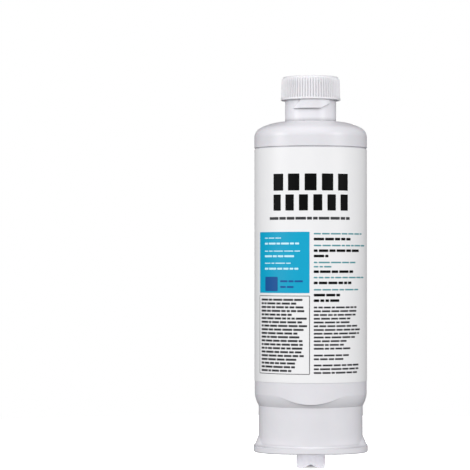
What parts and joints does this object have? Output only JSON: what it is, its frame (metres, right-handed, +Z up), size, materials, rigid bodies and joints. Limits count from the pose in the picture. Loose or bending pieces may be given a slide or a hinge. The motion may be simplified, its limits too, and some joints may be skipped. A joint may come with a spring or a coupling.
{
  "type": "refrigerator water filter cartridge",
  "caption": "Upright cylindrical water filter cartridge with a domed bayonet head under a ribbed push-on cap, a wrap label, and a waisted base with a winged flange and keyed stub.",
  "frame": {"origin": "middle of the keyed stub's end, on the cartridge's axis", "axes": "+Z up the axis towards the cap, -Y the front that carries the label's main panel, +X to the right"},
  "size_m": [0.0632, 0.0624, 0.2167],
  "materials": {
    "housing": "moulded polypropylene, satin",
    "cap": "moulded polyethylene",
    "label": "printed film",
    "seal": "greased rubber",
    "carbon": "pressed carbon",
    "wrap": "nonwoven",
    "end_cap": "moulded polypropylene"
  },
  "bodies": {
    "cartridge": {"sump": "housing", "head": "housing", "label": "label", "spigot_seal": "seal", "nose_seal": "seal", "outlet_seal": "seal", "carbon_block": "carbon", "prefilter_wrap": "wrap", "upper_end_cap": "end_cap", "lower_end_cap": "end_cap"},
    "cap": {"cap": "cap"}
  },
  "joints": [
    {"name": "cap_lift", "type": "slide", "parent": "cartridge", "child": "cap", "axis": [0, 0, 1], "range_m": [0, 0.03]}
  ]
}
